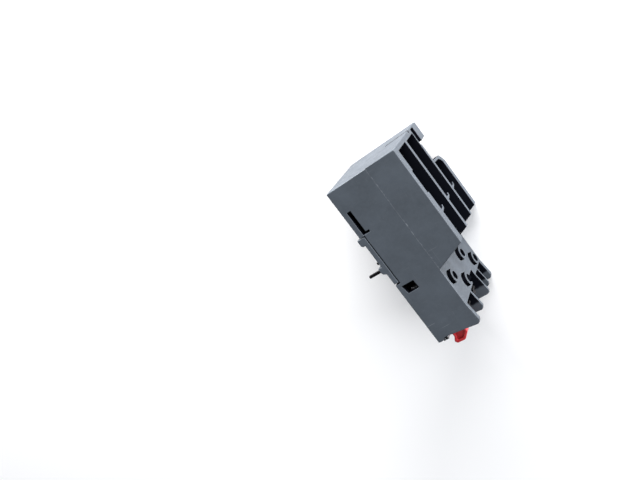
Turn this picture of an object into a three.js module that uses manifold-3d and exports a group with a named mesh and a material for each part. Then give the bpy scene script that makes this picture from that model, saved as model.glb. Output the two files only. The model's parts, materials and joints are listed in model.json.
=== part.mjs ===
// Three-pole thermal overload relay that plugs in underneath a 45 mm wide contactor.
//
// Axes: +X is the cable side (down in service), -X is the contactor side, -Y is the operating
// front, +Y is the mounting back, and +Z is the relay's right-hand side, seen from the front.
// The model lies on its left-hand side. Its origin is the middle of the bottom of its bounding box.
//
// Pieces are first drawn in bench axes: x = 0 on the cable face of the wide rear part, y = 0 on
// the back and z = 0 on the left-hand side, so x and y are mostly negative depths.

import * as THREE from 'three';
import { mergeVertices } from 'three/addons/utils/BufferGeometryUtils.js';
import Module from 'manifold-3d';

// ---- driving dimensions, in millimetres ------------------------------------------------------

const WIDTH = 45;
const SEAT_X = -36.4;           // contactor face
const SPLIT_X = -15;            // parting line between the two mouldings
const STEP_OUT_Y = -47.5;       // front end of the wide rear part at the cable face
const STEP_IN_Y = -53.3;        // and at the parting line
const FRONT_Y = -81.5;          // front face beside the controls
const NOSE_Y = -82.9;           // front face at its cable edge and at its lip
const NOSE_X = -14.0;           // cable edge of the barriers' front ends
const GAP = 0.3;
const BACK_CHAMFER = [[1, -1], [1, 11], [-1.2, -1]];   // (y, z) of the wedge off the back's left edge
const SKIN = 2;                 // moulded wall thickness

const PIN_TIP_X = -48.6;
const PIN_Y = -43.4;
const PIN_SIZE = { y: 1.3, z: 1.5 };
const SLEEVE = { y: 1.4, z: 1.7, play: 0.3 };   // half sizes of the insulating sleeve
const PHASE_Z = [8, 22, 36];

// open bays of the terminal block, from the left-hand side to the right-hand side
const BAYS = [
  { z0: 3.2, z1: 13.0, back: -19.2 },
  { z0: 15.0, z1: 26.3, back: -2.6 },
  { z0: 28.6, z1: 40.5, back: -2.2 },
];
const BAY_FLOOR_X = -13;
const GUIDE_DEPTH = 9;          // depth of the cuts behind the short left bay
// (y, z) outlines: the cut behind the short bay, and the blunt inside of that bay's corner
const SHORT_BAY_BACK = [
  [-8.2, -1], [-8.2, 13], [-17.8, 13], [-18.9, 4.6], [-20, 2.2], [-22.8, 0], [-22.8, -1],
];
const SHORT_BAY_CORNER = [[-22.6, 3.2], [-20.9, 4.8], [-19.9, 6.5], [-19.2, 13], [-19, 13], [-19, 3.2]];
const POST_GAP = { y: [-9, -0.9], z: [10.1, 14.1] };      // beside the back corner post
const BACK_GROOVE = { x: -11.6, z: 20.5, length: 14, depth: 1.2, half: 0.5, slant: 0.22 };
const BAR_Y = -40.6;            // load bars stand in this plane
const BAR_Z = [8.1, 21.3, 35.3];
const CLAMP_X = [-12.5, -7.1];
const CLAMP_SCREW_X = -9.8;

// auxiliary chambers in the nose, from left to right, with their wire holes
const CHAMBERS = [
  { z0: 2.2, z1: 9.2, back: -73.0, hole: { y: -69.9, z: 2.9 } },
  { z0: 10.2, z1: 15.2, back: -73.0, hole: { y: -61.8, z: 12.4 } },
  { z0: 16.4, z1: 31.1, back: -73.0, hole: { y: -69.9, z: 24.2 } },
  { z0: 32.8, z1: 42.7, back: -73.0, hole: { y: -61.9, z: 35.2 } },
];
const CHAMBER_TOP_X = -22.5;    // the chambers' side towards the controls
const SHELF_X = -23.5;
const AUX_SCREW_X = -19.2;
const AUX_SCREW_Z = [5.7, 12.7, 23.75, 37.75];
const WIRE_HOLE_R = 2;
// crescent slots: the outer edge is the collar's edge, moved aside by ARC_SHIFT
const COLLAR_R = 3.5;
const ARC_SHIFT = { y: 1.6, z: 4.6 };
const ARC_SPAN = [-0.09, 2.35];
const ARC_DEPTH = 2.2;
const THIRD_RELIEF = { y: [-74, -69.5], z: [16.4, 24.2] };   // shallow step behind the third chamber
const LONG_WALL = { y: -84.0, z: [15.2, 16.4] };   // barrier that stands out past the others

const MECH_FRONT_Y = -66;       // front wall of the mechanism space below the shelf
const FASCIA = { front: -81.3, back: -79.9 };

const BUTTON_TRAVEL = 3;
const STOP = { x0: -31.0, x1: -24.2, z0: 31.4, z1: 40.0, tip: -88.9, lip: 1.3, slant: 3.1 };
const RESET = { x: -28.8, z: 22.6, r: 2.8, tip: -82.9 };
const DIAL = { x: -28.8, z: 9.6, r: 4.0, tip: -82.9 };
const FLAG_Z = 28.2;
const TEST = { z: 16.6, tip: -81.9, back: -78.4, stem: 1.05, flange: 1.9 };
const COMPENSATOR_Z = 14.1;

const FLANGE_Y = -79.4;         // front of the buttons' retaining flanges
const BUTTON_BACK_Y = -78.2;
const STOP_FLANGE = 0.9;
const SCREW_SLOT = { long: 1.9, half: 0.4, depth: 0.7 };
const SPRING_SEAT_Y = -67.4;

const COVER = { front: -84.5, inner: -83.3, back: -81.6, z0: 3.4, z1: 41.6 };
const COVER_HINGE = { x: -34.7, y: -81.7, r: 0.65 };

const LATCH = { root: -24.3, tip: -49.4, thick: 2.2, width: 4, hook: 1.8 };

// ---- materials -------------------------------------------------------------------------------

const finish = (color, roughness, metalness = 0, extra = {}) =>
  () => new THREE.MeshStandardMaterial({ color, roughness, metalness, ...extra });

const slate = finish(0x50585f, 0.62);
const slateDark = finish(0x3c4248, 0.6);
const black = finish(0x14161a, 0.5);
const red = finish(0xc4353a, 0.42);
const blue = finish(0x2a5fa8, 0.42);
const cream = finish(0xe3dfd2, 0.5);
const clear = finish(0xdfe6ea, 0.12, 0, { transparent: true, opacity: 0.35 });
const steel = finish(0xb9bcc0, 0.35, 0.9);
const brass = finish(0xc9a24e, 0.35, 0.9);
const copper = finish(0xb87750, 0.38, 0.9);
const bimetalSteel = finish(0x8f9498, 0.4, 0.9);
const silver = finish(0xd8dade, 0.25, 0.9);

// ---- solids ----------------------------------------------------------------------------------

const wasm = await Module();
wasm.setup();

function toSolid(geometry) {
  const bare = geometry.index ? geometry.toNonIndexed() : geometry.clone();
  bare.deleteAttribute('normal');
  bare.deleteAttribute('uv');
  const merged = mergeVertices(bare, 1e-4);
  return new wasm.Manifold(new wasm.Mesh({
    numProp: 3,
    vertProperties: new Float32Array(merged.attributes.position.array),
    triVerts: new Uint32Array(merged.index.array),
  }));
}

function toGeometry(solid) {
  const mesh = solid.getMesh();
  const points = new Float32Array(mesh.numVert * 3);
  for (let i = 0; i < mesh.numVert; i += 1) {
    for (let axis = 0; axis < 3; axis += 1) {
      points[3 * i + axis] = mesh.vertProperties[mesh.numProp * i + axis];
    }
  }
  const geometry = new THREE.BufferGeometry();
  geometry.setAttribute('position', new THREE.BufferAttribute(points, 3));
  geometry.setIndex(new THREE.BufferAttribute(new Uint32Array(mesh.triVerts), 1));
  return geometry;
}

const cut = (body, ...tools) =>
  toGeometry(tools.reduce((left, tool) => left.subtract(toSolid(tool)), toSolid(body)));

const join = (body, ...others) =>
  toGeometry(others.reduce((sum, other) => sum.add(toSolid(other)), toSolid(body)));

function box([x0, x1], [y0, y1], [z0, z1]) {
  const geometry = new THREE.BoxGeometry(x1 - x0, y1 - y0, z1 - z0);
  return geometry.translate((x0 + x1) / 2, (y0 + y1) / 2, (z0 + z1) / 2);
}

function outline(points) {
  const shape = new THREE.Shape();
  points.forEach(([a, b], i) => (i ? shape.lineTo(a, b) : shape.moveTo(a, b)));
  shape.closePath();
  return shape;
}

// a plate seen along Z: its outline lies in the XY plane
function plateXY(points, [z0, z1]) {
  const shape = Array.isArray(points) ? outline(points) : points;
  const geometry = new THREE.ExtrudeGeometry(shape, { depth: z1 - z0, bevelEnabled: false });
  return geometry.translate(0, 0, z0);
}

// a plate seen along X: its outline is given as (y, z) pairs
function plateYZ(points, [x0, x1], curveSegments = 12) {
  const shape = Array.isArray(points) ? outline(points) : points;
  const geometry = new THREE.ExtrudeGeometry(
    shape, { depth: x1 - x0, bevelEnabled: false, curveSegments });
  const turn = new THREE.Matrix4().makeBasis(
    new THREE.Vector3(0, 1, 0), new THREE.Vector3(0, 0, 1), new THREE.Vector3(1, 0, 0));
  return geometry.applyMatrix4(turn).translate(x0, 0, 0);
}

function rodX(radius, [x0, x1], y, z, sides = 20) {
  const rod = new THREE.CylinderGeometry(radius, radius, x1 - x0, sides);
  return rod.rotateZ(Math.PI / 2).translate((x0 + x1) / 2, y, z);
}

function rodY(radius, x, [y0, y1], z, sides = 20) {
  const rod = new THREE.CylinderGeometry(radius, radius, y1 - y0, sides);
  return rod.translate(x, (y0 + y1) / 2, z);
}

function rodZ(radius, x, y, [z0, z1], sides = 16) {
  const rod = new THREE.CylinderGeometry(radius, radius, z1 - z0, sides);
  return rod.rotateX(Math.PI / 2).translate(x, y, (z0 + z1) / 2);
}

// a part of revolution about the Y direction, from (radius, y) pairs, front end first
function turnedY(profile, x, z, sides = 24) {
  const lathe = new THREE.LatheGeometry(profile.map(([r, y]) => new THREE.Vector2(r, y)), sides);
  return lathe.translate(x, 0, z);
}

// a wire bent along a curve
function wire(curve, steps, radius, sides = 6) {
  const section = new THREE.Shape();
  for (let i = 0; i < sides; i += 1) {
    const angle = (2 * Math.PI * i) / sides;
    const [a, b] = [radius * Math.cos(angle), radius * Math.sin(angle)];
    if (i) section.lineTo(a, b);
    else section.moveTo(a, b);
  }
  section.closePath();
  return new THREE.ExtrudeGeometry(section, { steps, extrudePath: curve, bevelEnabled: false });
}

// ---- assembly --------------------------------------------------------------------------------

const relay = new THREE.Group();
relay.name = 'thermal_overload_relay';
const bench = new THREE.Group();
bench.position.set(-PIN_TIP_X / 2, -STOP.tip / 2, 0);
relay.add(bench);

function add(name, geometry, material) {
  const mesh = new THREE.Mesh(geometry, material());
  mesh.name = name;
  bench.add(mesh);
}

// ---- housing ---------------------------------------------------------------------------------

const innerZ = [SKIN, WIDTH - SKIN];
const innerX = SEAT_X + SKIN;

// crescent slot beside a wire hole, on the side towards +Z
function arcSlot({ hole }) {
  const shape = new THREE.Shape();
  const [from, to] = ARC_SPAN;
  shape.absarc(ARC_SHIFT.y, ARC_SHIFT.z, COLLAR_R, from, to, false);
  shape.absarc(0, 0, COLLAR_R, to, from, true);
  const slot = plateYZ(shape, [SPLIT_X - ARC_DEPTH, SPLIT_X + 1], 10);
  return slot.translate(0, hole.y, hole.z);
}

function baseHousing() {
  const side = [
    [SEAT_X, 0], [SEAT_X, NOSE_Y + 0.3], [SEAT_X + 1.3, NOSE_Y], [SEAT_X + 2.6, NOSE_Y + 0.3],
    [SEAT_X + 3.4, FRONT_Y - 0.3], [SEAT_X + 4.4, FRONT_Y], [SPLIT_X - 0.7, NOSE_Y],
    [NOSE_X - 0.6, NOSE_Y + 0.6], [NOSE_X, NOSE_Y + 1.9], [SPLIT_X, -72.5], [SPLIT_X, 0],
  ];
  const tools = [
    // mechanism space, open towards the terminal block
    box([innerX, SPLIT_X + 1], [-51.5, -2.3], innerZ),
    box([innerX, SPLIT_X - 3], [MECH_FRONT_Y, -51], innerZ),
    // space behind the controls, open at the front
    box([innerX, SHELF_X], [-90, MECH_FRONT_Y + 1], innerZ),
    // nothing but the side walls stands in front of the fascia
    box([SEAT_X - 1, SHELF_X], [-90, FASCIA.front - 0.1], innerZ),
    box([SEAT_X - 1, innerX + 1], [-90, FASCIA.back], innerZ),
    // bearings for the lid's hinge pins
    rodZ(COVER_HINGE.r + 0.25, COVER_HINGE.x, COVER_HINGE.y, [0.7, WIDTH - 0.7]),
    // slot behind the latch arms and window in front of them, through both side walls
    box([-33.9, -32.0], [-23.4, -11.5], [-1, WIDTH + 1]),
    box([-32.5, -30.2], [-23.4, -22.5], [-1, WIDTH + 1]),
    plateXY([[-34.2, -51.7], [-28.0, -51.7], [-27.7, -55.7], [-33.4, -55.9]], [-1, WIDTH + 1]),
  ];
  for (const z of [[-1, LATCH.width + 0.4], [WIDTH - LATCH.width - 0.4, WIDTH + 1]]) {
    tools.push(box([SEAT_X - 1, -33.7], [LATCH.tip - 0.6, LATCH.root + 0.3], z));
  }
  for (const z of PHASE_Z) {
    tools.push(box([SEAT_X - 1, innerX + 1], [PIN_Y - SLEEVE.y - 0.5, PIN_Y + SLEEVE.y + 0.5],
      [z - SLEEVE.z - 0.5, z + SLEEVE.z + 0.5]));
  }
  CHAMBERS.forEach((chamber, i) => {
    const { z0, z1, back, hole } = chamber;
    tools.push(box([CHAMBER_TOP_X, NOSE_X + 1], [-90, back], [z0, z1]));
    tools.push(rodX(WIRE_HOLE_R, [SPLIT_X - 4, SPLIT_X + 1], hole.y, hole.z));
    tools.push(arcSlot(chamber));
    // slit for the terminal strip and clearance hole for its screw
    const z = AUX_SCREW_Z[i];
    tools.push(box([-22.35, -20.65], [back - 1, MECH_FRONT_Y + 1], [z - 2.0, z + 2.0]));
    tools.push(rodY(1.6, AUX_SCREW_X + 0.6, [back - 1, MECH_FRONT_Y + 1], z, 16));
  });
  tools.push(box([SPLIT_X - ARC_DEPTH, NOSE_X + 1], THIRD_RELIEF.y, THIRD_RELIEF.z));
  tools.push(plateYZ(BACK_CHAMFER, [SEAT_X - 1, SPLIT_X + 1]));
  const walled = cut(plateXY(side, [0, WIDTH]), ...tools);
  const tip = [
    [CHAMBER_TOP_X, NOSE_Y + 2], [CHAMBER_TOP_X, LONG_WALL.y], [NOSE_X - 1.9, LONG_WALL.y],
    [NOSE_X - 0.5, LONG_WALL.y + 0.5], [NOSE_X, LONG_WALL.y + 1.7], [NOSE_X, NOSE_Y + 1.9],
  ];
  return join(walled, plateXY(tip, LONG_WALL.z));
}

function terminalBlock() {
  const side = [
    [0, 0], [SPLIT_X + GAP, 0], [SPLIT_X + GAP, STEP_IN_Y], [0, STEP_OUT_Y],
  ];
  const tools = [
    // notch behind the short left bay, and the gap beside its corner post
    plateYZ(SHORT_BAY_BACK, [-GUIDE_DEPTH, 1]),
    box([-GUIDE_DEPTH, 1], POST_GAP.y, POST_GAP.z),
    box([-6, 1], [-GUIDE_DEPTH, 1], [-1, 3.4]),
    // groove across the back face
    box([0, BACK_GROOVE.length], [-BACK_GROOVE.depth, 1], [-BACK_GROOVE.half, BACK_GROOVE.half])
      .rotateY(BACK_GROOVE.slant).translate(BACK_GROOVE.x, 0, BACK_GROOVE.z),
    plateYZ(BACK_CHAMFER, [SPLIT_X - 1, 1]),
  ];
  BAYS.forEach(({ z0, z1, back }, i) => {
    tools.push(box([BAY_FLOOR_X, 1], [-60, back], [z0, z1]));
    // passage for the load bar
    tools.push(box([-16, BAY_FLOOR_X + 1], [BAR_Y - 1, BAR_Y + 1], [BAR_Z[i] - 2.7, BAR_Z[i] + 2.7]));
  });
  // the right-hand wall steps thinner over its middle
  tools.push(box([-6, 1], [-23.0, -12.0], [40, 41.9]));
  // the short bay's corner is blunt inside as well
  const corner = plateYZ(SHORT_BAY_CORNER, [BAY_FLOOR_X - 0.5, 0]);
  let block = join(cut(plateXY(side, [0, WIDTH]), ...tools), corner);
  // a guide rib stands out of each bay's right-hand wall, with a hooked end
  for (const { z1 } of BAYS) {
    const rib = [
      [-34.0, z1 + 0.5], [-34.0, z1 - 1.2], [-33.4, z1 - 4.6], [-31.6, z1 - 5.2], [-31.8, z1 - 4.2],
      [-32.5, z1 - 3.6], [-32.4, z1 + 0.5],
    ];
    block = join(block, plateYZ(rib, [BAY_FLOOR_X - 0.5, -0.4]));
  }
  return block;
}

function fascia() {
  const { front, back } = FASCIA;
  const plate = box([innerX + 1.1, SHELF_X - GAP], [front, back], [SKIN + GAP, WIDTH - SKIN - GAP]);
  return cut(plate,
    rodY(3.3, DIAL.x, [front - 1, back + 1], DIAL.z),
    rodY(RESET.r + 0.35, RESET.x, [front - 1, back + 1], RESET.z),
    rodY(1.4, DIAL.x, [front - 1, back + 1], TEST.z, 16),
    box([-30.6, -26.8], [front - 1, back + 1], [FLAG_Z - 1.1, FLAG_Z + 1.1]),
    box([STOP.x0 - 0.4, STOP.x1 + 0.4], [front - 1, back + 1], [STOP.z0 - 0.4, STOP.z1 + 0.4]));
}

// lid over the dial and the reset button, hinged along the whole contactor side
function clearCover() {
  const { front, inner, back, z0, z1 } = COVER;
  const { x, y, r } = COVER_HINGE;
  const lid = box([-35.5, -23.8], [front, back], [z0, 29.9]);
  const hollow = box([-33.3, -24.4], [inner, back + 1], [z0 + 0.8, 29.1]);
  const strip = box([-35.5, -32.7], [front, back], [29.5, z1]);
  const barrel = rodZ(0.9, x, y, [SKIN + GAP, WIDTH - SKIN - GAP]);
  const pins = rodZ(r, x, y, [1.1, WIDTH - 1.1]);
  return join(cut(lid, hollow), strip, barrel, pins);
}

// wall behind the controls that the two button springs push against
function springPlate() {
  const plate = box([innerX + GAP, SHELF_X - GAP], [SPRING_SEAT_Y + 0.3, SPRING_SEAT_Y + 1.3],
    [SKIN + GAP, WIDTH - SKIN - GAP]);
  return cut(plate,
    box([-29.8, -27.6], [-70, -60], [FLAG_Z - 1, FLAG_Z + 1]),
    box([-35, -26.9], [-70, -60], [COMPENSATOR_Z - 0.8, COMPENSATOR_Z + 0.8]));
}

add('base_housing', baseHousing(), slate);
add('terminal_block', terminalBlock(), slate);
add('front_fascia', fascia(), slateDark);
add('clear_cover', clearCover(), clear);
add('spring_plate', springPlate(), slateDark);

// snap arms that hook behind the contactor's edge, one on each side
[['left', 0], ['right', WIDTH - LATCH.width]].forEach(([side, z]) => {
  const { root, tip, thick, hook } = LATCH;
  const face = SEAT_X;
  const arm = [
    [face + thick, root], [face + thick, tip], [face, tip], [face, -43.6], [face - 1.3, -43.1],
    [face - 1.9, -41.9], [face - hook, -39.7], [face, -39.7], [face, -27.9], [face - 1.1, -27.9],
    [face - hook, -27.2], [face - hook, -24.3],
  ];
  add(`latch_arm_${side}`, plateXY(arm, [z, z + LATCH.width]), slate);
});

// ---- power path, one per phase ---------------------------------------------------------------

const BIMETAL = { x: [-30, -25], y: [-46, -8], z: 0.9 };
const HEATER = { x: -27.5, start: -38, pitch: 4, turns: 6, half: { x: 3.6, z: 1.35 }, wire: 0.45 };

// blade that plugs into the contactor, with its foot running back to the bimetal's root
function powerPin(z) {
  const { y, z: w } = PIN_SIZE;
  const side = [
    [PIN_TIP_X, PIN_Y - y / 2], [PIN_TIP_X, PIN_Y + y / 2], [-33.9, PIN_Y + y / 2], [-33.9, -4.2],
    [-30.4, -4.2], [-30.4, -5.4], [-32.7, -5.4], [-32.7, PIN_Y - y / 2],
  ];
  return plateXY(side, [z - w / 2, z + w / 2]);
}

function pinSleeve(z) {
  const { y, z: half, play } = SLEEVE;
  const [boreY, boreZ] = [PIN_SIZE.y / 2 + play, PIN_SIZE.z / 2 + play];
  const outer = box([SEAT_X - 0.6, -34.2], [PIN_Y - y, PIN_Y + y], [z - half, z + half]);
  const bore = box([-45, -30], [PIN_Y - boreY, PIN_Y + boreY], [z - boreZ, z + boreZ]);
  return cut(outer, bore);
}

function bimetal(z) {
  const [y0, y1] = BIMETAL.y;
  const strip = box(BIMETAL.x, [y0, y1], [z - BIMETAL.z / 2, z + BIMETAL.z / 2]);
  const foot = box([-30, -25], [-8.5, -5.8], [z - 2, z + 2]);
  return join(strip, foot);
}

class FlatHelix extends THREE.Curve {
  constructor(centre) {
    super();
    this.centre = centre;
  }

  getPoint(t, target = new THREE.Vector3()) {
    const { x, start, pitch, turns, half } = HEATER;
    const angle = 2 * Math.PI * turns * t;
    const round = 0.55;
    const bend = (value) => Math.sign(value) * Math.abs(value) ** round;
    return target.set(
      x + half.x * bend(Math.cos(angle)),
      start + pitch * turns * t,
      this.centre + half.z * bend(Math.sin(angle)));
  }
}

// copper bar from the heater's end into the bay, where the clamp closes on it
function loadBar(i) {
  const z = BAR_Z[i];
  const bar = box([-22.8, -7.6], [BAR_Y - 0.6, BAR_Y + 0.6], [z - 2.2, z + 2.2]);
  const foot = box([-22.8, -21.6], [BAR_Y - 0.6, BAR_Y + 6], [z - 2.2, z + 2.2]);
  return join(bar, foot);
}

// box clamp: a ring open along X, drawn forward by its screw
function boxClamp(i) {
  const mid = (BAYS[i].z0 + BAYS[i].z1) / 2;
  const half = Math.min(4.6, (BAYS[i].z1 - BAYS[i].z0) / 2 - 0.4);
  const ring = box(CLAMP_X, [-45.6, -35.4], [mid - half, mid + half]);
  const mouth = box([-20, 0], [-44.2, -36.6], [mid - half + 1.1, mid + half - 1.1]);
  const screwHole = rodY(2.1, CLAMP_SCREW_X, [-47, -43], mid);
  return cut(ring, mouth, screwHole);
}

function slottedHead(profile, x, z, slotX, slotZ, [y0, y1]) {
  return cut(turnedY(profile, x, z),
    box([x - slotX, x + slotX], [y0, y1], [z - slotZ, z + slotZ]),
    box([x - slotZ, x + slotZ], [y0, y1], [z - slotX, z + slotX]));
}

function clampScrew(i) {
  const mid = (BAYS[i].z0 + BAYS[i].z1) / 2;
  const profile = [
    [0, -50.9], [2.6, -50.9], [2.9, -50.6], [2.9, -48.4], [1.8, -48.4], [1.8, -41.9], [1.4, -41.5],
    [0, -41.5],
  ];
  return slottedHead(profile, CLAMP_SCREW_X, mid, 2.1, 0.4, [-52, -49.7]);
}

PHASE_Z.forEach((z, i) => {
  const n = i + 1;
  add(`power_pin_${n}`, powerPin(z), copper);
  add(`pin_sleeve_${n}`, pinSleeve(z), black);
  add(`bimetal_strip_${n}`, bimetal(z), bimetalSteel);
  add(`heater_winding_${n}`, wire(new FlatHelix(z), 12 * HEATER.turns, HEATER.wire, 4), copper);
  add(`load_bar_${n}`, loadBar(i), copper);
  add(`box_clamp_${n}`, boxClamp(i), steel);
  add(`clamp_screw_${n}`, clampScrew(i), steel);
});

// ---- trip mechanism --------------------------------------------------------------------------

const SLIDER = { x: [-29.2, -26.6], y: [-50.6, -48.2] };
const LEVER = { y: -57.0, z: 38.4, x: [-30.4, -28.2] };

// comb that the three bimetal tips push to the left
function tripSlider() {
  const bar = box(SLIDER.x, SLIDER.y, [4.2, 41.4]);
  const fingers = PHASE_Z.map((z) => box(SLIDER.x, [-48.6, -44.6], [z - 2.15, z - 0.85]));
  return cut(join(bar, ...fingers), box([-30, -27.8], [-52, -47], [37.1, 40.0]));
}

// bell crank: the slider's notch turns it, and its long arm pushes the contact carrier forward
function tripLever() {
  const { y, z, x } = LEVER;
  const crank = [
    [y - 2, z - 1.6], [y - 2, z + 1.6], [y + 1, z + 2.2], [-48.9, z + 0.7], [-48.9, z - 0.7],
    [y + 2.4, z - 1.4], [y + 1.2, z - 10], [y - 0.8, z - 10],
  ];
  return cut(plateYZ(crank, x), rodX(1.2, [x[0] - 1, x[1] + 1], y, z));
}

function contactCarrier() {
  const block = box([-26.9, -24.5], [-64, -54.2], [25.6, 31.6]);
  const leg = box([-26.9, -24.5], [-64, -60.2], [16, 26]);
  const post = box([-29.8, -26.4], [-60.1, -58.5], [27.4, 30.4]);
  const bridgeSlots = [
    box([-26.3, -25.1], [-57.0, -55.6], [10, 40]), box([-26.3, -25.1], [-62.8, -61.4], [10, 40])];
  return cut(join(block, leg, post), ...bridgeSlots);
}

// strip that corrects the setting for the room's temperature; the dial's cam bears on it
function compensator() {
  const z = COMPENSATOR_Z;
  return join(
    box([-31.4, -27.4], [-76.6, -53.2], [z - 0.3, z + 0.3]),
    box([innerX + GAP, -27.4], [-54.6, -53.2], [z - 0.3, z + 1.5]));
}

add('trip_slider', tripSlider(), cream);
add('trip_lever', tripLever(), black);
add('lever_axle', rodX(0.9, [innerX + GAP, -26.9], LEVER.y, LEVER.z), steel);
add('compensating_strip', compensator(), bimetalSteel);
add('contact_carrier', contactCarrier(), cream);
add('nc_bridge', box([-25.95, -25.45], [-56.7, -55.9], [22.6, 38.9]), silver);
add('no_bridge', box([-25.95, -25.45], [-62.5, -61.7], [4.6, 21.4]), silver);

// ---- auxiliary terminals ---------------------------------------------------------------------

// fixed contacts: the first two terminals close on a trip, the last two open
const CONTACT_Y = [[-65.6, -64.6], [-65.6, -64.6], [-55.5, -54.5], [-55.5, -54.5]];

function auxStrip(i) {
  const z = AUX_SCREW_Z[i];
  const { back } = CHAMBERS[i];
  const plate = cut(
    box([-22.1, -16.6], [back - 1.5, back - GAP], [z - 1.95, z + 1.95]),
    rodY(1.45, AUX_SCREW_X + 0.6, [back - 3, back + 1], z, 16));
  const contact = CONTACT_Y[i];
  return join(plate,
    box([-22.05, -20.95], [back - 1.2, contact[1]], [z - 1.7, z + 1.7]),
    box([-26.2, -20.95], contact, [z - 1.2, z + 1.2]));
}

function auxWasher(i) {
  const z = AUX_SCREW_Z[i];
  const front = CHAMBERS[i].back - 2.9;
  return cut(
    box([AUX_SCREW_X - 1.7, AUX_SCREW_X + 2.9], [front, front + 0.9], [z - 2.1, z + 2.1]),
    rodY(1.45, AUX_SCREW_X + 0.6, [front - 1, front + 2], z, 16));
}

function auxScrew(i) {
  const z = AUX_SCREW_Z[i];
  const seat = CHAMBERS[i].back - 3.2;
  const profile = [
    [0, seat - 2.0], [1.7, seat - 2.0], [2.05, seat - 1.6], [2.05, seat], [1.1, seat],
    [1.1, seat + 5.6], [0.8, seat + 5.9], [0, seat + 5.9],
  ];
  return slottedHead(profile, AUX_SCREW_X + 0.6, z, 1.5, 0.28, [seat - 3, seat - 1.0]);
}

CHAMBERS.forEach((chamber, i) => {
  const n = i + 1;
  add(`aux_terminal_${n}`, auxStrip(i), brass);
  add(`aux_washer_${n}`, auxWasher(i), steel);
  add(`aux_screw_${n}`, auxScrew(i), steel);
});

// ---- controls --------------------------------------------------------------------------------

// hooked cap with a slanted cable edge, a cored recess in its right-hand side and a flange behind
function stopButton() {
  const { x0, x1, z0, z1, tip, lip, slant } = STOP;
  const cap = plateXY([
    [x0 - 0.4, tip], [x1 - slant, tip], [x1, tip + slant], [x1, BUTTON_BACK_Y - 0.4],
    [x0, BUTTON_BACK_Y - 0.4], [x0, tip + 3.4], [x0 - lip, tip + 1.4],
  ], [z0, z1]);
  const recess = plateXY([
    [x0 + 0.3, tip + 1.4], [x1 - slant - 0.4, tip + 1.4], [x1 - 1.1, tip + slant + 0.7], [x1 - 1.1, -80.4],
    [x0 + 1.1, -80.4], [x0 + 1.1, tip + 3.2],
  ], [z1 - 1.6, z1 + 1]);
  const flange = box([x0 - STOP_FLANGE, x1 + 0.35], [FLANGE_Y, BUTTON_BACK_Y],
    [z0 - STOP_FLANGE, z1 + STOP_FLANGE]);
  return join(cut(cap, recess), flange);
}

function resetButton() {
  const { x, z, r, tip } = RESET;
  const profile = [
    [0, tip], [r - 0.5, tip], [r, tip + 0.5], [r, FLANGE_Y], [r + 0.9, FLANGE_Y], [r + 0.9, BUTTON_BACK_Y],
    [0, BUTTON_BACK_Y],
  ];
  const { long, half, depth } = SCREW_SLOT;
  return cut(turnedY(profile, x, z), box([x - long, x + long], [tip - 1, tip + depth], [z - half, z + half]));
}

function settingDial() {
  const { x, z, r, tip } = DIAL;
  const profile = [
    [0, tip], [r - 0.4, tip], [r, tip + 0.4], [r, -81.6], [3.0, -81.6], [3.0, -79.0], [2.0, -79.0],
    [2.0, -74.5], [0, -74.5],
  ];
  return cut(turnedY(profile, x, z, 36), box([x - 2.8, x + 2.8], [tip - 1, tip + 0.8], [z - 0.5, z + 0.5]));
}

// eccentric on the dial's stem sets the position of the compensating lever
function dialCam() {
  const ring = turnedY([[2.3, -77.4], [3.6, -77.4], [3.6, -75.4], [2.3, -75.4], [2.3, -77.4]], 0, 0);
  return ring.translate(DIAL.x, 0, DIAL.z);
}

function testPin() {
  const { tip, stem, flange, back } = TEST;
  const profile = [[0, tip], [stem, tip], [stem, FLANGE_Y], [flange, FLANGE_Y], [flange, back], [0, back]];
  return turnedY(profile, DIAL.x, TEST.z, 20);
}

function tripFlag() {
  const flag = box([-29.8, -27.6], [-81.0, -78.6], [FLAG_Z - 0.75, FLAG_Z + 0.75]);
  return join(flag, box([-29.2, -28.2], [-79, -60.5], [FLAG_Z - 0.5, FLAG_Z + 0.5]));
}

class SpringHelix extends THREE.Curve {
  constructor({ x, z, radius, from, to, turns }) {
    super();
    Object.assign(this, { x, z, radius, from, to, turns });
  }

  getPoint(t, target = new THREE.Vector3()) {
    const angle = 2 * Math.PI * this.turns * t;
    return target.set(
      this.x + this.radius * Math.cos(angle),
      this.from + (this.to - this.from) * t,
      this.z + this.radius * Math.sin(angle));
  }
}

function returnSpring(x, z, radius) {
  const turns = 4.5;
  const curve = new SpringHelix(
    { x, z, radius, from: BUTTON_BACK_Y + 0.6, to: SPRING_SEAT_Y - 0.6, turns });
  return wire(curve, 12 * turns, 0.3, 5);
}

add('stop_button', stopButton(), red);
add('reset_button', resetButton(), blue);
add('setting_dial', settingDial(), cream);
add('dial_cam', dialCam(), cream);
add('test_pin', testPin(), black);
add('trip_flag', tripFlag(), cream);
add('stop_spring', returnSpring((STOP.x0 + STOP.x1) / 2, (STOP.z0 + STOP.z1) / 2, 2.6), steel);
add('reset_spring', returnSpring(RESET.x, RESET.z, 2.1), steel);

export default relay;
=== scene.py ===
# Looks for a three-pole plug-in thermal overload relay. It lies on its left-hand side:
# -Y is the operating front, +Y the mounting back, -X the contactor side with the plug pins,
# +X the cable side and +Z the right-hand side.
import json
import math

import bmesh
import bpy
from mathutils import Matrix, Vector

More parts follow.
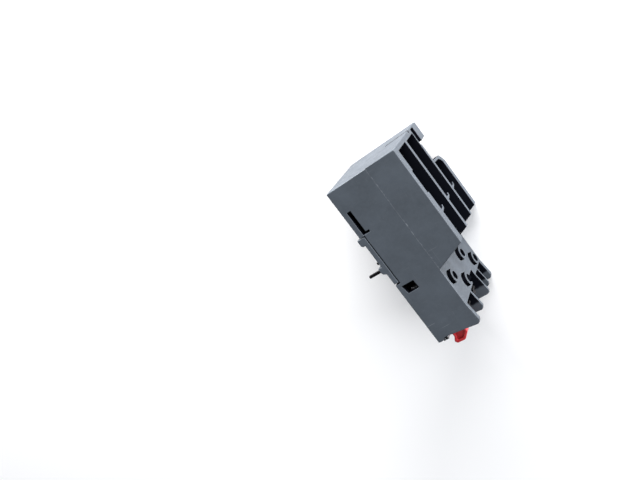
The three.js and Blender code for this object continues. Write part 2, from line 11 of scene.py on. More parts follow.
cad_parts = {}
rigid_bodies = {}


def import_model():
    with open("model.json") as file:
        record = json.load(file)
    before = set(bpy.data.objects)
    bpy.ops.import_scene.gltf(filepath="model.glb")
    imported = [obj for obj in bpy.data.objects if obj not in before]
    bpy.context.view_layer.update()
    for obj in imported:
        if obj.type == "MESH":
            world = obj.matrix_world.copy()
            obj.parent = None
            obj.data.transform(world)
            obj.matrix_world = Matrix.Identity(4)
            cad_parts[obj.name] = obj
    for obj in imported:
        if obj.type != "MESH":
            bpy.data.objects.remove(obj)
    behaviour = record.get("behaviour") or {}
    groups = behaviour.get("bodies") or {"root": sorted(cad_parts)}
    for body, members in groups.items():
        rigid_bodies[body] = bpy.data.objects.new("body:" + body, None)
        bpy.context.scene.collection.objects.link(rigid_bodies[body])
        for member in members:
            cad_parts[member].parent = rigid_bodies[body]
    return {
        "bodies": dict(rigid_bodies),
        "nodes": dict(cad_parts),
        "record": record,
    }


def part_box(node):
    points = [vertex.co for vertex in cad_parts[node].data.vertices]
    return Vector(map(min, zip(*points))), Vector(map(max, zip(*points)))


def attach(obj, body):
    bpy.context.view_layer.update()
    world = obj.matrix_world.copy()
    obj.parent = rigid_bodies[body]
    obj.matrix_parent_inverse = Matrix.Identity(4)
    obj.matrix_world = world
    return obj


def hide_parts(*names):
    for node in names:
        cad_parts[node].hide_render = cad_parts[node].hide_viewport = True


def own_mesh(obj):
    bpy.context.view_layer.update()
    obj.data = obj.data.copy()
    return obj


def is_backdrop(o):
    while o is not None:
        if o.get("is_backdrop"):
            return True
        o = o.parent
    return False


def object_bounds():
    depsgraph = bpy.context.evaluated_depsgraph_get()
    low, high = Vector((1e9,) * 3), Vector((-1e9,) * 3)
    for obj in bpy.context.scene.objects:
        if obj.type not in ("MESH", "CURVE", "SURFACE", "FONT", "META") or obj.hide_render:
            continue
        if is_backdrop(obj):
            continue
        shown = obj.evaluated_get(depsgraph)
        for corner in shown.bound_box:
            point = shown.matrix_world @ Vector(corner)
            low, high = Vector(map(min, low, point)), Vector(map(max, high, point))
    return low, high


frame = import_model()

MM = 0.001
WELD = 0.000004                 # points of the frame's meshes closer than this are one point
NODES = frame["nodes"]
cad_low, cad_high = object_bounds()
CENTRE = (cad_low + cad_high) / 2

PHASES = (1, 2, 3)
CONTROLS = (1, 2, 3, 4)


# ---- camera, floor and light -------------------------------------------------------------------

CAMERA_AT = Vector((0.132774, 0.081024, 0.327152))
CAMERA_RIGHT = Vector((0.73502, -0.60389, -0.30833))
CAMERA_UP = Vector((0.47001, 0.78153, -0.41026))
LENS_MM = 42.218
SENSOR_MM = 36.0
FLOOR_SIZE = 8.0
FLOOR_DROP = 0.00005            # keeps the floor from flickering through the lowest faces


def link(obj):
    bpy.context.scene.collection.objects.link(obj)
    return obj


def add_camera():
    data = bpy.data.cameras.new("camera")
    data.lens, data.sensor_width = LENS_MM, SENSOR_MM
    data.clip_start, data.clip_end = 0.01, 50
    camera = link(bpy.data.objects.new("camera", data))
    right = CAMERA_RIGHT.normalized()
    back = right.cross(CAMERA_UP).normalized()
    up = back.cross(right)
    turn = Matrix((right, up, back)).transposed().to_4x4()
    camera.matrix_world = Matrix.Translation(CAMERA_AT) @ turn
    bpy.context.scene.camera = camera


def add_area(name, azimuth, elevation, distance, size, power, colour):
    """A soft box that faces the object. Azimuth 0 is over -Y and 90 over +X, in degrees."""
    data = bpy.data.lights.new(name, "AREA")
    data.shape = "RECTANGLE"
    data.size, data.size_y = size
    data.energy, data.color = power, colour
    light = link(bpy.data.objects.new(name, data))
    a, e = math.radians(azimuth), math.radians(elevation)
    way = Vector((math.sin(a) * math.cos(e), -math.cos(a) * math.cos(e), math.sin(e)))
    light.location = CENTRE + way * distance
    light.rotation_mode = "QUATERNION"
    light.rotation_quaternion = way.to_track_quat("Z", "Y")
    light.visible_camera = False


def add_world(colour, strength):
    world = bpy.data.worlds.new("studio")
    world.use_nodes = True
    background = world.node_tree.nodes["Background"]
    background.inputs["Color"].default_value = (*colour, 1)
    background.inputs["Strength"].default_value = strength
    bpy.context.scene.world = world


# ---- material graphs ---------------------------------------------------------------------------


class Graph:
    """Short calls that build one material's node tree, in object coordinates."""

    def __init__(self, name, **constants):
        self.material = bpy.data.materials.new(name)
        self.material.use_nodes = True
        self.tree = self.material.node_tree
        self.shader = self.tree.nodes["Principled BSDF"]
        self.where = self.node("ShaderNodeTexCoord").outputs["Object"]
        for socket, value in constants.items():
            self.shader.inputs[socket.replace("_", " ")].default_value = value

    def node(self, kind, **settings):
        node = self.tree.nodes.new(kind)
        for key, value in settings.items():
            setattr(node, key, value)
        return node

    def put(self, socket, value):
        if isinstance(value, bpy.types.NodeSocket):
            self.tree.links.new(value, socket)
        elif isinstance(value, (tuple, list)) and len(value) == 3 and socket.type == "RGBA":
            socket.default_value = (*value, 1)
        else:
            socket.default_value = value

    def give(self, **inputs):
        for socket, value in inputs.items():
            self.put(self.shader.inputs[socket.replace("_", " ")], value)
        return self.material

    def stretch(self, scale, turn=(0, 0, 0)):
        node = self.node("ShaderNodeMapping")
        self.put(node.inputs["Vector"], self.where)
        node.inputs["Scale"].default_value = scale
        node.inputs["Rotation"].default_value = [math.radians(t) for t in turn]
        return node.outputs["Vector"]

    def noise(self, scale, detail=3.0, roughness=0.5, where=None, distortion=0.0):
        node = self.node("ShaderNodeTexNoise")
        self.put(node.inputs["Vector"], where or self.where)
        node.inputs["Scale"].default_value = scale
        node.inputs["Detail"].default_value = detail
        node.inputs["Roughness"].default_value = roughness
        node.inputs["Distortion"].default_value = distortion
        return node.outputs["Fac"]

    def span(self, value, low, high, a=0.0, b=1.0, smooth=False):
        node = self.node("ShaderNodeMapRange")
        node.interpolation_type = "SMOOTHSTEP" if smooth else "LINEAR"
        for socket, v in zip(("Value", "From Min", "From Max", "To Min", "To Max"), (value, low, high, a, b)):
            self.put(node.inputs[socket], v)
        return node.outputs["Result"]

    def mix(self, share, a, b):
        node = self.node("ShaderNodeMix", data_type="RGBA")
        for index, value in ((0, share), (6, a), (7, b)):
            self.put(node.inputs[index], value)
        return node.outputs[2]

    def sum(self, operation, a, b):
        node = self.node("ShaderNodeMath", operation=operation)
        self.put(node.inputs[0], a)
        self.put(node.inputs[1], b)
        return node.outputs[0]

    def part(self, axis):
        node = self.node("ShaderNodeSeparateXYZ")
        self.put(node.inputs[0], self.where)
        return node.outputs[axis]

    def edges(self, radius, low, high):
        """1 on outer edges, 0 on flat faces, from how a rounded normal leaves the true one."""
        bevel = self.node("ShaderNodeBevel", samples=4)
        bevel.inputs["Radius"].default_value = radius
        true = self.node("ShaderNodeNewGeometry").outputs["Normal"]
        dot = self.node("ShaderNodeVectorMath", operation="DOT_PRODUCT")
        self.put(dot.inputs[0], bevel.outputs[0])
        self.put(dot.inputs[1], true)
        return self.span(dot.outputs["Value"], high, low, 0.0, 1.0, smooth=True)

    def bump(self, height, strength, distance, under=None):
        node = self.node("ShaderNodeBump")
        node.inputs["Strength"].default_value = strength
        node.inputs["Distance"].default_value = distance
        self.put(node.inputs["Height"], height)
        if under is not None:
            self.put(node.inputs["Normal"], under)
        return node.outputs["Normal"]


GRAIN = 5200.0                  # spark-eroded texture of the moulds


def shade(colour, factor):
    return tuple(min(1.0, c * factor) for c in colour)


def moulded(name, colour, worn, roughness, wear=0.35, scratch=0.3, gloss=0.5, seam=None, painted_shade=None):
    """Moulded plastic: clouded colour, fine spark-eroded grain, light scuffs and rubbed edges, and painted
    shade where a mask is given.
    """
    g = Graph(name, Specular_IOR_Level=gloss)
    cloud = g.noise(70.0, 4.0, 0.55)
    mottle = g.noise(620.0, 3.0, 0.6)
    tint = g.mix(g.span(cloud, 0.3, 0.7), shade(colour, 0.82), shade(colour, 1.14))
    smear = g.span(g.noise(22.0, 3.0, 0.6, distortion=0.6), 0.35, 0.68, 0.0, 0.5, smooth=True)
    tint = g.mix(smear, tint, shade(colour, 0.72))
    tint = g.mix(g.span(mottle, 0.35, 0.75, 0.0, 0.35), tint, shade(colour, 1.22))
    dust = g.span(g.noise(2400.0, 2.0, 0.5), 0.70, 0.78, 0.0, 0.35)
    tint = g.mix(dust, tint, worn)
    lines = g.noise(90.0, 2.0, 0.4, where=g.stretch((1.0, 26.0, 9.0), (18, 0, 34)))
    more = g.noise(70.0, 2.0, 0.4, where=g.stretch((30.0, 1.0, 8.0), (0, 12, -27)))
    scuff = g.sum("MAXIMUM", g.span(lines, 0.69, 0.73), g.span(more, 0.70, 0.74))
    scuff = g.sum("MULTIPLY", scuff, g.span(g.noise(45.0, 2.0), 0.5, 0.68, 0.0, scratch))
    uneven = g.span(g.noise(260.0, 4.0, 0.65), 0.3, 0.65, 0.25, 1.0)
    rubbed = g.sum("MULTIPLY", g.edges(0.00035, 0.80, 0.985), uneven)
    marks = g.sum("MAXIMUM", scuff, g.sum("MULTIPLY", rubbed, wear))
    if seam is not None:
        marks = g.sum("MAXIMUM", marks, seam(g))
    tint = g.mix(marks, tint, worn)
    # painted shade: blends to near-black and drops the gloss where the mask is high
    if painted_shade is not None:
        deep = painted_shade(g)
        tint = g.mix(deep, tint, PAINTED_SHADE_BLACK)
        g.give(Specular_IOR_Level=g.span(deep, 0.0, 1.0, gloss, 0.03))
    rough = g.span(g.noise(330.0, 4.0, 0.6), 0.3, 0.7, roughness - 0.06, roughness + 0.08)
    rough = g.sum("SUBTRACT", rough, g.sum("MULTIPLY", marks, 0.12))
    fine = g.bump(g.noise(GRAIN, 2.0, 0.55), 0.22, 0.00003)
    wavy = g.bump(g.noise(120.0, 2.0, 0.5), 0.10, 0.00035, under=fine)
    return g.give(Base_Color=tint, Roughness=rough, Normal=wavy)


def metal(name, colour, dark, roughness, brush=(1.0, 1.0, 14.0), stain=0.5):
    """Plated or drawn metal with brushing, tarnish clouds and small pits."""
    g = Graph(name, Metallic=1.0)
    cloud = g.span(g.noise(240.0, 5.0, 0.6), 0.38, 0.72, 0.0, stain)
    tint = g.mix(cloud, colour, dark)
    pits = g.span(g.noise(3800.0, 2.0, 0.6), 0.66, 0.76, 0.0, 0.55)
    tint = g.mix(pits, tint, shade(dark, 0.6))
    lines = g.noise(900.0, 3.0, 0.6, where=g.stretch(brush))
    rough = g.span(lines, 0.3, 0.7, roughness - 0.08, roughness + 0.12)
    rough = g.sum("ADD", rough, g.sum("MULTIPLY", cloud, 0.22))
    return g.give(Base_Color=tint, Roughness=rough, Normal=g.bump(lines, 0.18, 0.00002))


def clear_plastic(name):
    g = Graph(name, Transmission_Weight=1.0, IOR=1.49)
    haze = g.noise(160.0, 4.0, 0.6)
    lines = g.noise(110.0, 2.0, 0.4, where=g.stretch((1.0, 1.0, 30.0), (0, 24, 10)))
    tint = g.mix(g.span(haze, 0.35, 0.7), (0.92, 0.93, 0.95), (0.84, 0.86, 0.89))
    rough = g.sum("MAXIMUM", g.span(haze, 0.3, 0.75, 0.04, 0.16), g.span(lines, 0.70, 0.76, 0.0, 0.35))
    return g.give(Base_Color=tint, Roughness=rough, Normal=g.bump(g.noise(180.0, 2.0), 0.06, 0.0003))


# ---- mesh work ---------------------------------------------------------------------------------


def settle(obj, body, material, stands_for=()):
    """Finishes a piece: its material or materials, its body and the CAD nodes it replaces."""
    for one in material if isinstance(material, (tuple, list)) else (material,):
        obj.data.materials.append(one)
    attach(obj, body)
    if stands_for:
        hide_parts(*stands_for)
    return obj


def rounded(obj, width, segments=2, angle=30, weigh=None):
    """Rounds edges sharper than angle. weigh gives an edge's share of the width, from its ends in mm."""
    bevel = obj.modifiers.new("rounding", "BEVEL")
    bevel.width = width * MM
    bevel.segments = segments
    bevel.use_clamp_overlap = False
    bevel.loop_slide = False
    bevel.harden_normals = True
    if weigh is None:
        bevel.limit_method = "ANGLE"
        bevel.angle_limit = math.radians(angle)
    else:
        bevel.limit_method = "WEIGHT"
        form = bmesh.new()
        form.from_mesh(obj.data)
        layer = form.edges.layers.float.new("bevel_weight_edge")
        for edge in form.edges:
            if edge.is_manifold and edge.calc_face_angle(0) > math.radians(angle):
                edge[layer] = weigh(*(v.co / MM for v in edge.verts))
                edge.smooth = edge[layer] > 0
        form.to_mesh(obj.data)
        form.free()
    for face in obj.data.polygons:
        face.use_smooth = True
    return obj


def body_of(node):
    return next(body for body, empty in frame["bodies"].items() if NODES[node].parent is empty)


MOST_CORNERS = 24               # flat faces with more corners than this are cut into triangles


def recut(node, name, width, material, segments=2, pick=None, shift=None, weigh=None):
    """A node's shape with merged flat faces and rounded edges. pick chooses each face's material."""
    source = NODES[node].data
    mesh = bpy.data.meshes.new(name)
    points = [v.co / MM for v in source.vertices]
    if shift:
        points = [shift(p) for p in points]
    mesh.from_pydata([p * MM for p in points], [], [f.vertices[:] for f in source.polygons])
    form = bmesh.new()
    form.from_mesh(mesh)
    for near in (WELD, 12 * WELD):
        bmesh.ops.remove_doubles(form, verts=form.verts, dist=near)
        bmesh.ops.dissolve_limit(
            form, angle_limit=math.radians(0.6), verts=form.verts, edges=form.edges,
            use_dissolve_boundaries=False)
    crowded = [face for face in form.faces if len(face.verts) > MOST_CORNERS]
    bmesh.ops.triangulate(form, faces=crowded, ngon_method="BEAUTY")
    if pick:
        for face in form.faces:
            face.material_index = pick(face.calc_center_median() / MM, face.normal)
    form.to_mesh(mesh)
    form.free()
    obj = rounded(link(bpy.data.objects.new(name, mesh)), width, segments, weigh=weigh)
    return settle(obj, body_of(node), material, [node])


def made(name, points, faces):
    mesh = bpy.data.meshes.new(name)
    mesh.from_pydata([Vector(p) * MM for p in points], [], faces)
    return link(bpy.data.objects.new(name, mesh))


def lathe(name, profile, x, z, sides=64):
    """A body of revolution about a line along Y, from (radius, y) pairs that start and end on the axis."""
    points, rings = [], []
    for r, y in profile:
        if r == 0:
            rings.append([len(points)] * sides)
            points.append((x, y, z))
        else:
            rings.append(list(range(len(points), len(points) + sides)))
            for i in range(sides):
                a = 2 * math.pi * i / sides
                points.append((x + r * math.cos(a), y, z + r * math.sin(a)))
    faces = []
    for a, b in zip(rings, rings[1:]):
        for i in range(sides):
            j = (i + 1) % sides
            quad = [a[i], a[j], b[j], b[i]]
            faces.append(list(dict.fromkeys(quad)))
    return outward(made(name, points, faces))


def outward(obj):
    form = bmesh.new()
    form.from_mesh(obj.data)
    bmesh.ops.recalc_face_normals(form, faces=form.faces)
    form.to_mesh(obj.data)
    form.free()
    return obj


def thread(x, z, y0, y1, r, depth, pitch, sides=32, steps=6):
    """Points and faces of a threaded shank along Y with flat ends."""
    rows = int((y1 - y0) / pitch * steps)
    points, faces = [], []
    for k in range(rows + 1):
        y = y0 + (y1 - y0) * k / rows
        for i in range(sides):
            a = 2 * math.pi * i / sides
            phase = ((y - y0) / pitch + i / sides) % 1.0
            ease = min(1.0, k / steps, (rows - k) / steps)
            radius = r - depth * (1 - ease) - depth * ease * abs(2 * phase - 1)
            points.append((x + radius * math.cos(a), y, z + radius * math.sin(a)))
    for k in range(rows):
        for i in range(sides):
            j = (i + 1) % sides
            faces.append([k * sides + i, k * sides + j, (k + 1) * sides + j, (k + 1) * sides + i])
    faces.append(list(range(sides)))
    faces.append(list(reversed(range(rows * sides, (rows + 1) * sides))))
    return points, faces


def block(x, y, z):
    """Points and faces of a box from its three spans."""
    points = [(x[i], y[j], z[k]) for i in (0, 1) for j in (0, 1) for k in (0, 1)]
    faces = [(0, 1, 3, 2), (4, 6, 7, 5), (0, 4, 5, 1), (2, 3, 7, 6), (0, 2, 6, 4), (1, 5, 7, 3)]
    return points, faces


def carve(obj, *cutters):
    """Cuts boxes, turned bodies or other closed forms out of obj."""
    for points, faces in cutters:
        tool = outward(made("tool", points, faces))
        cut = obj.modifiers.new("cut", "BOOLEAN")
        cut.operation, cut.solver, cut.object = "DIFFERENCE", "EXACT", tool
        bpy.context.view_layer.update()
        graph = bpy.context.evaluated_depsgraph_get()
        mesh = bpy.data.meshes.new_from_object(obj.evaluated_get(graph))
        obj.modifiers.clear()
        obj.data = mesh
        bpy.data.objects.remove(tool)


def absorb(obj, points, faces):
    """Adds another closed form to the same piece."""
    other = outward(made("extra", points, faces))
    form = bmesh.new()
    form.from_mesh(obj.data)
    form.from_mesh(other.data)
    form.to_mesh(obj.data)
    form.free()
    bpy.data.objects.remove(other)


def tube(name, path, radius, sides=10):
    """A round wire along a path of points in mm, with closed ends."""
    points, faces = [], []
    normal = None
    for i, p in enumerate(path):
        ahead = (path[min(i + 1, len(path) - 1)] - path[max(i - 1, 0)]).normalized()
        if normal is None:
            normal = ahead.orthogonal().normalized()
        normal = (normal - ahead * normal.dot(ahead)).normalized()
        side = ahead.cross(normal)
        for k in range(sides):
            a = 2 * math.pi * k / sides
            points.append(p + (normal * math.cos(a) + side * math.sin(a)) * radius)
    for i in range(len(path) - 1):
        for k in range(sides):
            j = (k + 1) % sides
            faces.append([i * sides + k, i * sides + j, (i + 1) * sides + j, (i + 1) * sides + k])
    faces.append(list(range(sides)))
    faces.append(list(range((len(path) - 1) * sides, len(path) * sides)))
    obj = outward(made(name, points, faces))
    for face in obj.data.polygons:
        face.use_smooth = len(face.vertices) == 4
    return obj


def middle(node):
    low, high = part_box(node)
    return (low + high) / 2 / MM


def span_of(node):
    low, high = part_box(node)
    return low / MM, high / MM


# ---- studio ------------------------------------------------------------------------------------


def add_floor():
    half = FLOOR_SIZE / 2 / MM
    corners = [(-half, -half, 0), (half, -half, 0), (half, half, 0), (-half, half, 0)]
    floor = made("floor", corners, [(0, 1, 2, 3)])
    floor.location.z = cad_low.z - FLOOR_DROP
    paper = Graph("floor_paper", Roughness=0.9)
    tint = paper.mix(paper.noise(3.0), (0.90, 0.90, 0.91), (0.93, 0.93, 0.94))
    floor.data.materials.append(paper.give(Base_Color=tint))
    floor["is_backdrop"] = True


add_camera()
add_world((0.92, 0.96, 1.0), 0.27)
add_area("back_softbox", 160, 9, 1.2, (1.2, 0.4), 74.0, (1.0, 0.99, 0.98))
add_area("cable_softbox", 92, 10, 1.2, (1.0, 0.45), 21.0, (0.99, 0.99, 1.0))
add_area("top_softbox", 100, 62, 1.3, (0.9, 0.9), 6.0, (0.96, 0.98, 1.0))
bpy.context.scene.view_settings.view_transform = "Standard"
add_floor()

# ---- finishes ----------------------------------------------------------------------------------

SLATE = (0.052, 0.063, 0.078)
WORN_SLATE = (0.26, 0.28, 0.31)
# near-black colour of the painted shade in the bays, the control chambers and the housing's inner faces
PAINTED_SHADE_BLACK = (0.0030, 0.0036, 0.0060)
SPLIT = 9.3                     # parting plane between the two mouldings, along X
CHAMBER_DEPTH = -34.6           # behind this the control chambers' walls get painted shade, along Y


def scuffed_seam(g):
    """Light broken scratches along the parting plane."""
    wander = g.span(g.noise(160.0, 3.0, 0.6), 0.3, 0.7, -0.00022, 0.00022)
    near = g.sum("ABSOLUTE", g.sum("ADD", g.sum("SUBTRACT", g.part(0), (SPLIT + 0.15) * MM), wander), 0.0)
    band = g.span(near, 0.00005, 0.00026, 1.0, 0.0, smooth=True)
    dots = g.span(g.noise(620.0, 4.0, 0.7), 0.46, 0.62, 0.0, 0.55)
    stretches = g.span(g.noise(75.0, 3.0, 0.6), 0.40, 0.62, 0.12, 1.0)
    broken = g.sum("MULTIPLY", dots, stretches)
    side = g.span(g.part(2), 0.0444, 0.0448)
    return g.sum("MULTIPLY", g.sum("MULTIPLY", band, broken), side)


def chamber_painted_shade(g):
    """Painted shade: the control chambers' walls turn near-black towards their screws."""
    ragged = g.sum("ADD", g.part(1), g.span(g.noise(300.0), 0.3, 0.7, -0.0004, 0.0004))
    return g.span(ragged, (CHAMBER_DEPTH - 0.6) * MM, (CHAMBER_DEPTH + 0.6) * MM, smooth=True)


slate = moulded("slate_plastic", SLATE, WORN_SLATE, 0.52, seam=scuffed_seam)
chamber = moulded("chamber_plastic_painted_shade", SLATE, WORN_SLATE, 0.55, painted_shade=chamber_painted_shade)
# painted shade: near-black matte faces for the bays, the back groove and the housing's inner faces
dark = moulded("near_black_painted_shade", PAINTED_SHADE_BLACK, (0.010, 0.012, 0.016), 0.75, wear=0.1, scratch=0.1, gloss=0.03)
fascia = moulded("fascia_plastic", (0.040, 0.046, 0.056), (0.18, 0.19, 0.21), 0.5)
black = moulded("black_plastic", (0.008, 0.009, 0.011), (0.05, 0.05, 0.055), 0.45)
red = moulded("red_plastic", (0.56, 0.030, 0.038), (0.62, 0.18, 0.17), 0.36, wear=0.3)
blue = moulded("blue_plastic", (0.02, 0.11, 0.36), (0.2, 0.32, 0.5), 0.36, wear=0.3)
cream = moulded("natural_acetal", (0.74, 0.70, 0.60), (0.9, 0.88, 0.82), 0.42, wear=0.2)
white = moulded("white_marking", (0.80, 0.80, 0.78), (0.9, 0.9, 0.9), 0.5, wear=0.1)
steel = metal("zinc_plated_steel", (0.62, 0.63, 0.65), (0.30, 0.30, 0.31), 0.32)
# near-black steel: the screws, washers and clamps are darkened to painted shade of the deep chambers and bays
dark_steel = metal("near_black_steel_painted_shade", (0.030, 0.030, 0.033), (0.010, 0.010, 0.012), 0.45)
# brass darkened almost to black: painted shade in the control chambers
brass = metal("brass_strip_painted_shade", (0.040, 0.029, 0.016), (0.014, 0.011, 0.008), 0.60)
copper = metal("tarnished_copper", (0.24, 0.12, 0.075), (0.07, 0.038, 0.028), 0.50)
# plug pins darkened almost to black
pin_metal = metal("near_black_pin", (0.022, 0.020, 0.022), (0.006, 0.006, 0.008), 0.46, (1.0, 14.0, 14.0))
bimetal = metal("rolled_bimetal", (0.42, 0.43, 0.44), (0.20, 0.19, 0.19), 0.38, (1.0, 12.0, 1.0))
silver = metal("silver_contact", (0.86, 0.86, 0.87), (0.5, 0.5, 0.5), 0.22)
clear = clear_plastic("clear_polycarbonate")

FINISHES = {
    "slate": slate, "fascia": fascia, "black": black, "red": red, "blue": blue, "cream": cream,
    "steel": steel, "dark_steel": dark_steel, "brass": brass, "copper": copper, "bimetal": bimetal,
    "silver": silver, "clear": clear,
}
SLOT_OF = {row["node"]: row["material_slot"] for row in frame["record"]["subparts"]}
for node, slot in SLOT_OF.items():
    obj = NODES[node]
    for face in obj.data.polygons:
        face.material_index = 0
    obj.data.materials.clear()
    obj.data.materials.append(FINISHES[slot])

# ---- housing -----------------------------------------------------------------------------------

SIDES = (0.2, 44.8)             # the two side faces lie outside this span, along Z
BACK_WALL = 42.5                # the back face and its chamfer lie behind this, along Y
CONTACTOR_WALL = -12.0          # the contactor face and its edges lie beyond this, along X
CHAMBER_FLOOR = 1.8             # under the control screws, along X
CHAMBERS_END = -24.0            # the control chambers lie in front of this, along Y
FRONT_LIP = -38.0               # the operating front lies in front of this, along Y
STEP = -9.0                     # the front end of the terminal block, along Y
BAY_FLOOR, BAY_RIM = 11.3, 24.3     # along X
BAYS_BACK, BAYS_SIDE = 42.4, 42.2   # inner ends of the bays, along Y and Z
FRONT_END = -2.5                # the terminal block's sloping front end lies in front of this
GAP = 0.3                       # between the two mouldings
WIRE_RIMS = ((4.5, 9.6), (-28.4, STEP), (0.5, 44.5))    # box round wire holes and crescent slots
GROOVE = ((12.0, 25.0), (43.0, 44.5), (15.5, 22.0))     # box round the groove in the back face

OUTSIDE, SHADED, CHAMBER = range(3)     # places in each moulding's list of materials; SHADED holds the near-black painted shade


def within(p, box):
    return all(low < at < high for at, (low, high) in zip(p, box))


def at_split(p):
    return abs(p.x - SPLIT) < GAP + 0.05


def keen(a, b):
    """0 for edges that stay sharp: parting line, back groove, and rims of wire holes and their slots."""
    seam = at_split(a) and at_split(b) and max(a.y, b.y) > STEP
    marked = any(within(a, box) and within(b, box) for box in (WIRE_RIMS, GROOVE))
    return 0.0 if seam or marked else 1.0


# inner faces of the housing get the near-black painted shade (SHADED); the chamber walls get painted shade
# towards their screws
def base_material(c, n):
    across = CONTACTOR_WALL <= c.x <= SPLIT - 0.02
    if not (SIDES[0] < c.z < SIDES[1] and across) or c.y > BACK_WALL:
        return OUTSIDE
    if c.x > CHAMBER_FLOOR - 0.1 and c.y < CHAMBERS_END:
        return CHAMBER if abs(n.z) > 0.5 or n.y < -0.5 or n.x > 0.2 else SHADED
    return SHADED if c.y > FRONT_LIP else OUTSIDE


# the back groove and the bays' walls and floors get the near-black painted shade (SHADED)
def terminal_material(c, n):
    if within(c, GROOVE) and c.y < 44.4 and c.x < BAY_RIM - 0.05:
        return SHADED
    if n.y < -0.5 and c.y < FRONT_END:
        return OUTSIDE
    inside = SIDES[0] < c.z < BAYS_SIDE and BAY_FLOOR - 0.1 < c.x < BAY_RIM - 0.05 and c.y < BAYS_BACK
    if inside and abs(n.y) + abs(n.z) > 0.5:
        return OUTSIDE if n.x > 0.3 else SHADED
    return SHADED if abs(c.x - BAY_FLOOR) < 0.05 and n.x > 0.5 else OUTSIDE


def close_seam(p):
    """Draws the terminal block's parting face up to the base."""
    return Vector((SPLIT + 0.04, p.y, p.z)) if abs(p.x - SPLIT - GAP) < 0.01 else p


recut("base_housing", "housing_shell", 0.26, (slate, dark, chamber), pick=base_material, weigh=keen)
recut("terminal_block", "terminal_shell", 0.3, (slate, dark), pick=terminal_material, shift=close_seam,
      weigh=keen)

for side in ("left", "right"):
    recut(f"latch_arm_{side}", f"latch_{side}", 0.22, slate)
recut("front_fascia", "fascia_plate", 0.12, fascia)
recut("clear_cover", "clear_lid", 0.16, clear, 3)
recut("spring_plate", "spring_wall", 0.12, fascia)
recut("stop_button", "stop_cap", 0.36, red, 3)

# ---- power path --------------------------------------------------------------------------------

HEATER_TURNS, HEATER_WIRE = 6, 0.42


def heater(n):
    low, high = span_of(f"heater_winding_{n}")
    centre = (low + high) / 2
    half_x, half_z = (high.x - low.x) / 2 - HEATER_WIRE, (high.z - low.z) / 2 - HEATER_WIRE
    count = 36 * HEATER_TURNS
    path = []
    for i in range(count + 1):
        a = 2 * math.pi * HEATER_TURNS * i / count
        bend = [math.copysign(abs(v) ** 0.55, v) for v in (math.cos(a), math.sin(a))]
        y = low.y + HEATER_WIRE + (high.y - low.y - 2 * HEATER_WIRE) * i / count
        path.append(Vector((centre.x + half_x * bend[0], y, centre.z + half_z * bend[1])))
    coil = tube(f"heater_coil_{n}", path, HEATER_WIRE)
    settle(coil, "housing", copper, [f"heater_winding_{n}"])


for n in PHASES:
    recut(f"power_pin_{n}", f"plug_pin_{n}", 0.16, pin_metal)
    recut(f"pin_sleeve_{n}", f"pin_collar_{n}", 0.16, black)
    recut(f"bimetal_strip_{n}", f"bimetal_blade_{n}", 0.1, bimetal)
    recut(f"load_bar_{n}", f"load_blade_{n}", 0.15, copper)
    recut(f"box_clamp_{n}", f"clamp_cage_{n}", 0.28, dark_steel)
    heater(n)

# ---- screws ------------------------------------------------------------------------------------


def screw(node, name, head, head_r, seat, shank_r, tip, pitch, recess, material):
    """A pan-head screw with a combined slot and cross, and a rolled thread. Its head points to -Y."""
    c = middle(node)
    dome = 0.16 * (seat - head)
    profile = [(0, head), (0.55 * head_r, head + 0.15 * dome), (0.85 * head_r, head + dome),
               (0.97 * head_r, head + 2 * dome), (head_r, head + 3 * dome), (head_r, seat - 0.12),
               (head_r - 0.12, seat), (0, seat)]
    body = lathe(name, profile, c.x, c.z, 56)
    long, wide, deep = recess
    arm = 0.72 * long
    slot, cross = (head - 1, head + deep), (head - 1, head + 1.25 * deep)
    carve(body,
          block((c.x - long, c.x + long), slot, (c.z - wide, c.z + wide)),
          block((c.x - arm, c.x + arm), cross, (c.z - wide, c.z + wide)),
          block((c.x - wide, c.x + wide), cross, (c.z - arm, c.z + arm)))
    absorb(body, *thread(c.x, c.z, seat - 0.05, tip, shank_r, 0.16 * shank_r, pitch))
    rounded(body, 0.06, 2, 40)
    settle(body, body_of(node), material, [node])


for n in PHASES:
    low, high = span_of(f"clamp_screw_{n}")
    screw(f"clamp_screw_{n}", f"clamp_bolt_{n}", low.y, 2.9, low.y + 2.5, 1.8, high.y, 0.7,
          (2.2, 0.38, 1.1), dark_steel)
for n in CONTROLS:
    low, high = span_of(f"aux_screw_{n}")
    screw(f"aux_screw_{n}", f"control_screw_{n}", low.y, 2.05, low.y + 2.0, 1.1, high.y, 0.5,
          (1.55, 0.28, 0.9), dark_steel)
    recut(f"aux_washer_{n}", f"control_washer_{n}", 0.14, dark_steel)
    recut(f"aux_terminal_{n}", f"control_strip_{n}", 0.12, brass)

# ---- controls ----------------------------------------------------------------------------------

CLOSED_TURNS = 0.75             # of wire that lies flat at each end of a spring
CLOSED_PITCH = 2.1              # of those turns, in wire radii


def spring(node, name, turns, radius):
    """A compression spring between a button and the wall behind it."""
    low, high = span_of(node)
    c = (low + high) / 2
    coil = (high.x - low.x) / 2 - radius
    closed = CLOSED_PITCH * radius
    count = 40 * turns
    path = []
    for i in range(count + 1):
        t = i / count
        wound = t * turns
        rise = min(max((wound - CLOSED_TURNS) / (turns - 2 * CLOSED_TURNS), 0.0), 1.0)
        flat = closed * (min(wound, CLOSED_TURNS) + max(0.0, wound - turns + CLOSED_TURNS))
        y = low.y + radius + flat + rise * (high.y - low.y - 2 * radius - 2 * CLOSED_TURNS * closed)
        a = 2 * math.pi * turns * t
        path.append(Vector((c.x + coil * math.cos(a), y, c.z + coil * math.sin(a))))
    obj = tube(name, path, radius, 8)
    settle(obj, "housing", steel, [node])
    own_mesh(obj)


spring("stop_spring", "stop_return_spring", 6, 0.3)
spring("reset_spring", "reset_return_spring", 6, 0.3)


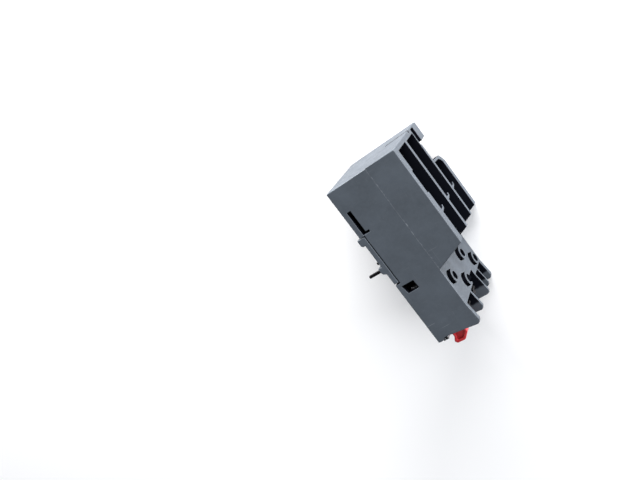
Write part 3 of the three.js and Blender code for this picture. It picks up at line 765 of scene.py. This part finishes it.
def turned(name, node, steps, sides=64):
    """A turned control from its steps of radius and depth behind its front. The last runs to its end."""
    c, (low, high) = middle(node), span_of(node)
    profile = [(0, low.y), *((r, low.y + depth) for r, depth in steps), (steps[-1][0], high.y), (0, high.y)]
    return lathe(name, profile, c.x, c.z, sides)


def screwdriver_slot(obj, node, half_length, half_width, depth):
    c, front = middle(node), span_of(node)[0].y
    carve(obj, block((c.x - half_length, c.x + half_length), (front - 1, front + depth),
                     (c.z - half_width, c.z + half_width)))


def reset_cap():
    cap = turned("reset_cap", "reset_button", [
        (1.9, 0), (2.3, 0.06), (2.62, 0.25), (2.8, 0.6), (2.8, 3.5), (3.7, 3.5)])
    screwdriver_slot(cap, "reset_button", 1.9, 0.4, 0.7)
    settle(rounded(cap, 0.1, 2, 40), "reset_button", blue, ["reset_button"])


KNURLS, KNURL_R, KNURL = 36, 3.83, 0.13


def current_dial():
    dial = turned("current_dial", "setting_dial", [
        (3.0, 0), (3.4, 0.12), (3.7, 0.4), (3.7, 1.3), (3.0, 1.3), (3.0, 3.9), (2.0, 3.9)], 72)
    screwdriver_slot(dial, "setting_dial", 2.7, 0.45, 0.8)
    c, front = middle("setting_dial"), span_of("setting_dial")[0].y
    for i in range(KNURLS):
        a = 2 * math.pi * i / KNURLS
        x, z = c.x + KNURL_R * math.cos(a), c.z + KNURL_R * math.sin(a)
        absorb(dial, *block((x - KNURL, x + KNURL), (front + 0.35, front + 1.25), (z - KNURL, z + KNURL)))
    settle(rounded(dial, 0.05, 2, 40), "setting_dial", cream, ["setting_dial"])


def test_plunger():
    pin = turned("test_plunger", "test_pin", [
        (0.75, 0), (0.98, 0.12), (1.05, 0.35), (1.05, 2.5), (1.9, 2.5)], 40)
    settle(rounded(pin, 0.05, 2, 40), "test_pin", black, ["test_pin"])


TICKS, TICK_START, TICK_SWEEP = 11, -135, 270
TICK_FROM, TICK_LONG, TICK_SHORT, TICK_HALF = 4.5, 5.6, 5.15, 0.14
FASCIA_FIELD = ((-11.0, 0.2), (2.5, 42.4))      # flat part of the fascia, along X and Z


def dial_scale():
    """Raised bars on the fascia round the dial, longer at every second step."""
    c = middle("setting_dial")
    face_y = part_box("front_fascia")[0].y / MM
    scale = None
    for i in range(TICKS):
        a = math.radians(TICK_START + TICK_SWEEP * i / (TICKS - 1))
        outer = TICK_LONG if i % 2 == 0 else TICK_SHORT
        way, across = (math.sin(a), math.cos(a)), (math.cos(a), -math.sin(a))
        ends = ((TICK_FROM, -TICK_HALF), (outer, -TICK_HALF), (outer, TICK_HALF), (TICK_FROM, TICK_HALF))
        corners = [(c.x + way[0] * r + across[0] * w, c.z + way[1] * r + across[1] * w) for r, w in ends]
        if not all(within(corner, FASCIA_FIELD) for corner in corners):
            continue
        points = [(x, y, z) for y in (face_y - 0.12, face_y + 0.05) for x, z in corners]
        faces = [(0, 1, 2, 3), (7, 6, 5, 4), (0, 4, 5, 1), (1, 5, 6, 2), (2, 6, 7, 3), (3, 7, 4, 0)]
        if scale is None:
            scale = outward(made("dial_scale", points, faces))
        else:
            absorb(scale, points, faces)
    settle(scale, "housing", white)


reset_cap()
current_dial()
test_plunger()
dial_scale()

# ---- mechanism ---------------------------------------------------------------------------------

SMALL = {
    "trip_slider": 0.14, "trip_lever": 0.14, "compensating_strip": 0.08, "contact_carrier": 0.14,
    "nc_bridge": 0.08, "no_bridge": 0.08, "trip_flag": 0.12,
}
for node, width in SMALL.items():
    recut(node, f"{node}_fine", width, FINISHES[SLOT_OF[node]])

low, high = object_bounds()
